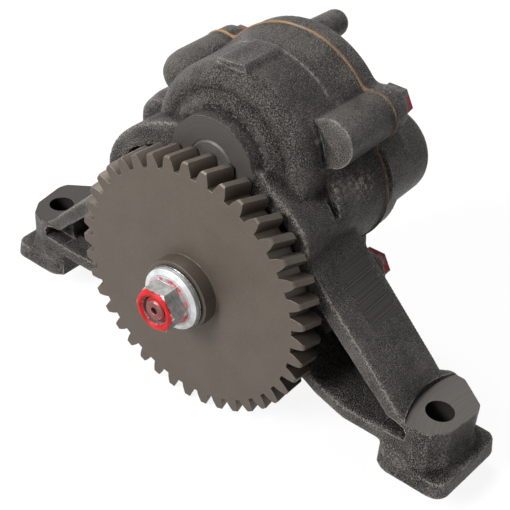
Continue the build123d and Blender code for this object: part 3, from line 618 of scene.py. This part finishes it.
def housing_machining(tree, place):
    """Mask and tool lines of the pads, the stud holes, the boss face and the milled strips; the left pad and
    the stud hole walls carry painted shade.
    """
    parts = shader_node(tree, "ShaderNodeSeparateXYZ", Vector=place).outputs
    outward = number(tree, "ABSOLUTE", parts["X"])
    pad = number(tree, "MULTIPLY", ramp(tree, parts["Z"], foot_top - 0.12 * mm, foot_top - 0.04 * mm),
                 ramp(tree, outward, pad_inner, pad_inner + 1 * mm))
    pad = number(tree, "MULTIPLY", pad, ramp(tree, parts["Z"], foot_top + 0.6 * mm, foot_top + 0.5 * mm))
    stud_arm = shader_node(tree, "ShaderNodeCombineXYZ", X=number(tree, "SUBTRACT", outward, foot_x),
                           Y=parts["Y"]).outputs[0]
    # The stud hole walls are machined, and painted near black as painted shade.
    bored_and_shaded = ramp(tree, vector(tree, "LENGTH", stud_arm), foot_hole_radius + 0.15 * mm,
                 foot_hole_radius + 0.05 * mm)
    bored_and_shaded = number(tree, "MULTIPLY", bored_and_shaded, ramp(tree, parts["Z"], foot_top - 0.2 * mm, foot_top - 0.5 * mm))
    boss = ramp(tree, parts["Y"], boss_face_y + 0.12 * mm, boss_face_y + 0.04 * mm)
    boss = number(tree, "MULTIPLY", boss, ramp(tree, parts["Z"], boss_low, boss_low + 1 * mm))

    flat = shader_node(tree, "ShaderNodeCombineXYZ", X=outward, Z=parts["Z"]).outputs[0]
    from_start = vector(tree, "SUBTRACT", flat, (strip_start.x, 0, strip_start.y))
    strip_out = vector(tree, "DOT_PRODUCT", from_start, (away.x, 0, away.y))
    strip_along = vector(tree, "DOT_PRODUCT", from_start, (run.x, 0, run.y))
    ragged = number(tree, "SUBTRACT", spots(tree, place, 1.4 * mm, 4.0, 0.7), 0.5)
    ragged = number(tree, "MULTIPLY", ragged, 9 * mm)
    strip = number(tree, "MULTIPLY", band(tree, strip_out, -0.6 * mm, 0.42 * mm),
                   band(tree, number(tree, "ADD", parts["Y"], ragged), strip_front + 2 * mm, strip_rear))
    strip = number(tree, "MULTIPLY", strip, band(tree, number(tree, "ADD", strip_along, ragged), 0.0,
                                                 (strip_end - strip_start).length))
    mask = number(tree, "MAXIMUM", number(tree, "MAXIMUM", pad, bored_and_shaded), number(tree, "MAXIMUM", boss, strip))

    mill_centre = shader_node(tree, "ShaderNodeCombineXYZ", X=spot_face[0], Y=spot_face[1]).outputs[0]
    on_pad = shader_node(tree, "ShaderNodeCombineXYZ", X=outward, Y=parts["Y"]).outputs[0]
    mill_out = vector(tree, "LENGTH", vector(tree, "SUBTRACT", on_pad, mill_centre))
    # Painted shade: the left pad's tool marks are darker than the right pad's.
    arcs_and_left_pad_shade = number(tree, "MULTIPLY", tool_marks(tree, mill_out, 0.8 * mm, 0.56, 0.76),
                  ramp(tree, parts["X"], -1 * mm, 1 * mm, 0.45, 1.0))
    rings = use_group(tree, ring_lines, Height=idler_height, Width=0.35 * mm)["Lines"]
    turned = ramp(tree, rings, 0.3, 0.7, 0.15, 0.42)
    ridges = tool_marks(tree, strip_along, 0.7 * mm, 0.08, 0.62)
    level = mixed(tree, strip, mixed(tree, boss, arcs_and_left_pad_shade, turned), ridges)
    return mask, mixed(tree, bored_and_shaded, level, hole_painted_shade_level)


housing_iron = cast_iron("housing_iron", housing_machining)
dress(housing_iron, housing)

# Rear cover
# Iron casting with a turned inlet boss, an outlet face and a lifting peg, bolted over the gears.
# The ends of the peg and of the inlet boss are machined; the flange edge is left as cast.
cover_front = 39.4 * mm
cover_voxel = 0.9 * mm
cover_rounding = 3
peg_end = 70.8 * mm
peg_height = 150.3 * mm
cover_stock = copy_of("rear_cover")
grow(cover_stock, 1, cover_front, -spare)
cover_cut = bmesh.new()
box_in(cover_cut, (-clear_side, 0, clear_low), (clear_side, cover_front, clear_high))
cover = cast_skin("rear_cover_casting", cover_stock, cover_voxel, cover_rounding, [cover_cut])
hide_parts("rear_cover")
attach(cover, "housing")


def cover_machining(tree, place):
    """Mask and tool lines of the ends of the peg and of the inlet boss."""
    parts = shader_node(tree, "ShaderNodeSeparateXYZ", Vector=place).outputs
    end = ramp(tree, parts["Y"], peg_end, peg_end + 0.15 * mm)
    rings = use_group(tree, ring_lines, Height=peg_height, Width=0.35 * mm)["Lines"]
    return end, rings


dress(cast_iron("cover_iron", cover_machining), cover)


def steel(name, dark, light, bright, rough, wear_radius, wear_amount, metallic=0.9, line_height=None,
          line_width=0.3 * mm, bump=0.02 * mm, smudge=6 * mm):
    """Worked steel: soft stains between two colours, tool rings, bare bright edges."""
    made, tree, shader, place = material(name)
    wear = use_group(tree, edge_wear, Radius=wear_radius, Patch=1.0 * mm, Amount=wear_amount)
    stains = ramp(tree, spots(tree, place, smudge, 4.0, 0.6), 0.35, 0.65)
    fine = spots(tree, place, 0.35 * mm, 3.0, 0.7)
    colour = mixed(tree, stains, dark, light)
    colour = mixed(tree, ramp(tree, fine, 0.5, 0.75, 0.0, 0.25), colour, bright)
    join(tree, mixed(tree, wear["Mask"], colour, bright), shader["Base Color"])
    shader["Metallic"].default_value = metallic
    spread = number(tree, "ADD", rough, number(tree, "MULTIPLY", number(tree, "SUBTRACT", fine, 0.5), 0.2))
    polish = number(tree, "MULTIPLY", wear["Mask"], 0.1)
    join(tree, number(tree, "SUBTRACT", spread, polish), shader["Roughness"])
    height = fine
    if line_height is not None:
        rings = use_group(tree, ring_lines, Height=line_height, Width=line_width)["Lines"]
        height = number(tree, "ADD", fine, rings)
    join(tree, bumped(tree, height, 1.0, bump, wear["Normal"]), shader["Normal"])
    return made


# Drive gear
# Helical engine gear, hobbed, its face turned and the whole phosphated to a warm grey.
# The edges of its teeth and hub are worn bright.
gear_steel = steel("gear_steel", dark=(0.065, 0.051, 0.039, 1), light=(0.072, 0.057, 0.044, 1),
                   bright=(0.19, 0.168, 0.15, 1), rough=0.5, wear_radius=0.35 * mm, wear_amount=0.8,
                   metallic=0.45, line_height=drive_height, line_width=0.5 * mm, bump=0.012 * mm)
dress(gear_steel, pump["drive_gear"])

# Gear washer
# Hardened steel disc under the nut, dark from its heat treatment, its rim rubbed bright.
washer_steel = steel("washer_steel", dark=(0.035, 0.035, 0.030, 1), light=(0.09, 0.09, 0.08, 1),
                     bright=(0.55, 0.54, 0.51, 1), rough=0.42, wear_radius=0.5 * mm, wear_amount=1.0,
                     smudge=0.8 * mm)
dress(washer_steel, pump["gear_washer"])

# Flange nut
# Forged, zinc-plated nut that holds the gear; the fitter marked its face with red paint.
# The paint is chipped at the corners and smeared over the edge of the mouth.
nut_face = -55.7 * mm
nut_flange_front = -45.1 * mm
paint_dark = (0.24, 0.003, 0.004, 1)
paint_light = (0.37, 0.005, 0.007, 1)
zinc_dull = (0.20, 0.20, 0.195, 1)
zinc_grey = (0.36, 0.36, 0.35, 1)
zinc_dim = (0.37, 0.38, 0.385, 1)
zinc_clean = (0.53, 0.54, 0.545, 1)
zinc_bare = (0.78, 0.78, 0.78, 1)
stamped_grey = (0.12, 0.12, 0.12, 1)


def paint_over(made, coverage):
    """Red marking paint on a finished metal where the coverage function says."""
    tree = made.node_tree
    shader = tree.nodes["Principled BSDF"].inputs
    place = tree.nodes.new("ShaderNodeTexCoord").outputs["Object"]
    chips = spots(tree, place, 0.8 * mm, 5.0, 0.7)
    share = coverage(tree, place, chips)
    shader["Specular IOR Level"].default_value = 0.2
    coat = mixed(tree, ramp(tree, spots(tree, place, 2.5 * mm, 3.0), 0.35, 0.65), paint_dark, paint_light)
    bare_colour = shader["Base Color"].links[0].from_socket
    bare_rough = shader["Roughness"].links[0].from_socket
    bare_share = number(tree, "SUBTRACT", 1.0, share)
    join(tree, mixed(tree, share, bare_colour, coat), shader["Base Color"])
    join(tree, number(tree, "MULTIPLY", bare_share, shader["Metallic"].default_value), shader["Metallic"])
    join(tree, number(tree, "ADD", bare_rough, number(tree, "MULTIPLY", share, 0.1)), shader["Roughness"])
    return made


def about_axis(tree, place):
    """Distance from the drive axis, and place along it."""
    parts = shader_node(tree, "ShaderNodeSeparateXYZ", Vector=place).outputs
    arm = shader_node(tree, "ShaderNodeCombineXYZ", X=parts["X"],
                      Z=number(tree, "SUBTRACT", parts["Z"], drive_height)).outputs[0]
    return vector(tree, "LENGTH", arm), parts["Y"]


def nut_paint(tree, place, chips):
    """Paint on the nut's front face, a little of its flats, and smears in the corner above the flange."""
    radius, depth = about_axis(tree, place)
    chipped = number(tree, "MULTIPLY", number(tree, "SUBTRACT", chips, 0.5), 3.2 * mm)
    ragged = number(tree, "ADD", depth, chipped)
    front = ramp(tree, ragged, nut_face + 1.5 * mm, nut_face + 1.1 * mm)
    near_flange = ramp(tree, depth, nut_flange_front - 1.6 * mm, nut_flange_front - 0.4 * mm)
    corner = number(tree, "MULTIPLY", near_flange, ramp(tree, radius, 12.4 * mm, 11.4 * mm))
    smears = ramp(tree, spots(tree, place, 2.2 * mm, 4.0, 0.7), 0.44, 0.56, 0.0, 0.9)
    return number(tree, "MAXIMUM", front, number(tree, "MULTIPLY", corner, smears))


nut_zinc, nut_tree, nut_shader, nut_place = material("nut_zinc")
nut_wear = use_group(nut_tree, edge_wear, Radius=0.45 * mm, Patch=0.8 * mm)
nut_out, nut_depth = about_axis(nut_tree, nut_place)
on_flange = ramp(nut_tree, nut_depth, nut_flange_front - 0.4 * mm, nut_flange_front)
dull = mixed(nut_tree, ramp(nut_tree, spots(nut_tree, nut_place, 1.5 * mm, 4.0, 0.7), 0.35, 0.65),
             zinc_dull, zinc_grey)
clean = mixed(nut_tree, ramp(nut_tree, spots(nut_tree, nut_place, 2.5 * mm, 4.0, 0.7), 0.35, 0.65),
              zinc_dim, zinc_clean)
stamped_ring = band(nut_tree, nut_out, 12.3 * mm, 12.6 * mm)
clean = mixed(nut_tree, number(nut_tree, "MULTIPLY", stamped_ring, 0.7), clean, stamped_grey)
nut_colour = mixed(nut_tree, on_flange, dull, clean)
join(nut_tree, mixed(nut_tree, nut_wear["Mask"], nut_colour, zinc_bare), nut_shader["Base Color"])
nut_shader["Metallic"].default_value = 0.6
nut_smudge = spots(nut_tree, nut_place, 1.0 * mm, 4.0)
join(nut_tree, ramp(nut_tree, nut_smudge, 0.3, 0.7, 0.34, 0.5), nut_shader["Roughness"])
nut_grain = spots(nut_tree, nut_place, 0.5 * mm, 3.0)
join(nut_tree, bumped(nut_tree, nut_grain, 1.0, 0.08 * mm, nut_wear["Normal"]), nut_shader["Normal"])
dress(paint_over(nut_zinc, nut_paint), pump["flange_nut"])

# Shafts, keys, dowels and piston
# Ground and hardened steel; the drive shaft's threaded end sits inside the nut with a centre drill.
# A little of the red paint ran on to the shaft's end, and the drilled centre is painted near black as painted
# shade.
thread_front = -53.2 * mm
pilot_rim_back = -54.0 * mm
pilot_face = -55.0 * mm
pilot_rim = (4.35 * mm, 5.2 * mm)
centre_drill_radius = 1.9 * mm
drill_shade_colour = (0.01, 0.008, 0.008, 1)


def shaft_paint(tree, place, chips):
    """Red film over the drive shaft's front end, thin enough to show the metal on the pilot's rim."""
    radius, depth = about_axis(tree, place)
    front = ramp(tree, depth, thread_front, thread_front - 0.2 * mm)
    rim = number(tree, "MULTIPLY", band(tree, radius, *pilot_rim),
                 ramp(tree, depth, pilot_rim_back, pilot_rim_back - 0.2 * mm))
    film = ramp(tree, depth, pilot_face + 0.1 * mm, pilot_face + 0.3 * mm, 0.35, 0.95)
    film = number(tree, "SUBTRACT", film, number(tree, "MULTIPLY", rim, 0.3))
    film = number(tree, "MULTIPLY", film, ramp(tree, chips, 0.7, 0.4, 0.6, 1.0))
    return number(tree, "MULTIPLY", front, film)


ground_steel = steel("ground_steel", dark=(0.30, 0.285, 0.27, 1), light=(0.38, 0.365, 0.35, 1),
                     bright=(0.6, 0.58, 0.56, 1), rough=0.32, wear_radius=0.3 * mm, wear_amount=0.8,
                     line_height=drive_height)
dress(ground_steel, pump["gear_key"], pump["pump_gear_key"], pump["dowel_pins"], pump["relief_piston"])
idler_steel = steel("idler_steel", dark=(0.030, 0.028, 0.026, 1), light=(0.055, 0.052, 0.048, 1),
                    bright=(0.22, 0.21, 0.20, 1), rough=0.5, wear_radius=0.25 * mm, wear_amount=0.6,
                    metallic=0.35, line_height=idler_height, line_width=0.7 * mm, smudge=4 * mm)
dress(idler_steel, pump["idler_shaft"])
shaft_steel = steel("shaft_steel", dark=(0.09, 0.06, 0.058, 1), light=(0.16, 0.11, 0.105, 1),
                    bright=(0.50, 0.42, 0.40, 1), rough=0.34, wear_radius=0.45 * mm, wear_amount=1.0,
                    line_height=drive_height)
paint_over(shaft_steel, shaft_paint)
shaft_tree = shaft_steel.node_tree
shaft_colour = shaft_tree.nodes["Principled BSDF"].inputs["Base Color"]
shaft_place = shaft_tree.nodes.new("ShaderNodeTexCoord").outputs["Object"]
shaft_out, shaft_depth = about_axis(shaft_tree, shaft_place)
# Painted shade: the drilled centre is painted near black.
drill_painted_shade = number(shaft_tree, "MULTIPLY",
                 ramp(shaft_tree, shaft_out, centre_drill_radius, centre_drill_radius - 0.3 * mm),
                 ramp(shaft_tree, shaft_depth, pilot_face + 0.1 * mm, pilot_face + 0.5 * mm))
join(shaft_tree, mixed(shaft_tree, drill_painted_shade, shaft_colour.links[0].from_socket, drill_shade_colour), shaft_colour)
dress(shaft_steel, pump["drive_shaft"])

# Pump gears
# Hobbed and ground steel, oiled, with bright tips where they run against the housing.
pump_gear_steel = steel("pump_gear_steel", dark=(0.24, 0.23, 0.22, 1), light=(0.32, 0.31, 0.30, 1),
                        bright=(0.55, 0.54, 0.52, 1), rough=0.34, wear_radius=0.3 * mm, wear_amount=0.9)
dress(pump_gear_steel, pump["pump_drive_gear"], pump["pump_idler_gear"])

# Bushes
# Bronze, bored and pressed in; one carries each end of the drive shaft and one the idler gear.
bush_bronze = steel("bush_bronze", dark=(0.34, 0.20, 0.08, 1), light=(0.45, 0.28, 0.12, 1),
                    bright=(0.72, 0.50, 0.26, 1), rough=0.36, wear_radius=0.3 * mm, wear_amount=0.7)
dress(bush_bronze, pump["front_shaft_bush"], pump["rear_shaft_bush"], pump["idler_bush"])

# Cover bolts and relief plug
# Forged and zinc-plated; the fitter dabbed red paint on the bolt heads when they were tight.
# The lower heads took more of it than the upper ones.
low_heads = 90 * mm
high_heads = 120 * mm


def bolt_paint(tree, place, chips):
    """Paint over the rear faces and most flats of the heads."""
    height = shader_node(tree, "ShaderNodeSeparateXYZ", Vector=place).outputs["Z"]
    bare = ramp(tree, height, low_heads, high_heads, -0.04, 0.04)
    chipped = number(tree, "MULTIPLY", number(tree, "SUBTRACT", chips, 0.5), 0.3)
    dabs = number(tree, "ADD", spots(tree, place, 4 * mm), chipped)
    return ramp(tree, number(tree, "SUBTRACT", dabs, bare), 0.48, 0.50)


bolt_steel = steel("bolt_steel", dark=(0.012, 0.011, 0.011, 1), light=(0.10, 0.097, 0.092, 1),
                   bright=(0.60, 0.59, 0.57, 1), rough=0.42, wear_radius=0.4 * mm, wear_amount=0.6,
                   metallic=0.5, smudge=3 * mm)
dress(bolt_steel, pump["relief_plug"])
dress(paint_over(bolt_steel.copy(), bolt_paint), pump["cover_bolts"])

# Relief spring
# Drawn spring wire, coiled cold, its ends left plain.
spring_steel = steel("spring_steel", dark=(0.17, 0.165, 0.16, 1), light=(0.24, 0.235, 0.23, 1),
                     bright=(0.5, 0.49, 0.48, 1), rough=0.38, wear_radius=0.2 * mm, wear_amount=0.5)
dress(spring_steel, pump["relief_spring"])

# Copper ring
# Soft copper washer, crushed a little under the plug's flange.
seal_copper = steel("seal_copper", dark=(0.42, 0.19, 0.10, 1), light=(0.52, 0.26, 0.15, 1),
                    bright=(0.80, 0.46, 0.32, 1), rough=0.34, wear_radius=0.2 * mm, wear_amount=0.6)
dress(seal_copper, pump["relief_seal_ring"])

# Outlet ring
# Moulded black nitrile ring that lies in the groove of the outlet face.
rubber, rubber_tree, rubber_shader, rubber_place = material("seal_rubber")
rubber_mottle = spots(rubber_tree, rubber_place, 1.5 * mm, 4.0)
join(rubber_tree, mixed(rubber_tree, rubber_mottle, (0.012, 0.012, 0.012, 1), (0.03, 0.03, 0.03, 1)),
     rubber_shader["Base Color"])
join(rubber_tree, ramp(rubber_tree, rubber_mottle, 0.3, 0.7, 0.45, 0.6), rubber_shader["Roughness"])
join(rubber_tree, bumped(rubber_tree, rubber_mottle, 0.4, 0.05 * mm), rubber_shader["Normal"])
dress(rubber, pump["outlet_seal_ring"])

# Cover gasket
# Brown gasket paper, punched out a little larger than the joint, so its edge stands proud.
# The edge is tan at the left and darker toward the right, with oil stains over it.
gasket_proud = 0.45 * mm
paper_tan = (0.29, 0.155, 0.058, 1)
paper_dark = (0.055, 0.028, 0.014, 1)
paper_fibre = (0.42, 0.27, 0.13, 1)
darkening_reach = 42 * mm
paper, gasket_tree, gasket_shader, gasket_place = material("gasket_paper")
fibres = spots(gasket_tree, gasket_place, 0.5 * mm, 5.0, 0.7)
oil_stains = ramp(gasket_tree, spots(gasket_tree, gasket_place, 9 * mm, 3.0), 0.4, 0.6)
gasket_side = shader_node(gasket_tree, "ShaderNodeSeparateXYZ", Vector=gasket_place).outputs["X"]
# Darker toward +X, over random stains.
gasket_darkening = number(gasket_tree, "ADD", number(gasket_tree, "MULTIPLY", oil_stains, 0.4),
             ramp(gasket_tree, gasket_side, 0.0, darkening_reach, 0.0, 0.9))
fibre_share = ramp(gasket_tree, fibres, 0.5, 0.75, 0.0, 0.5)
gasket_colour = mixed(gasket_tree, fibre_share, mixed(gasket_tree, gasket_darkening, paper_tan, paper_dark), paper_fibre)
join(gasket_tree, gasket_colour, gasket_shader["Base Color"])
gasket_shader["Roughness"].default_value = 0.75
join(gasket_tree, bumped(gasket_tree, fibres, 0.6, 0.08 * mm), gasket_shader["Normal"])
gasket_shape = copy_of("cover_gasket")
gasket_shape.normal_update()
for corner in gasket_shape.verts:
    corner.co += Vector((corner.normal.x, 0, corner.normal.z)).normalized() * gasket_proud
    corner.co.z = min(corner.co.z, cad_high[2])
gasket = placed(gasket_shape, "gasket_sheet")
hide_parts("cover_gasket")
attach(gasket, "housing")
dress(paper, gasket)
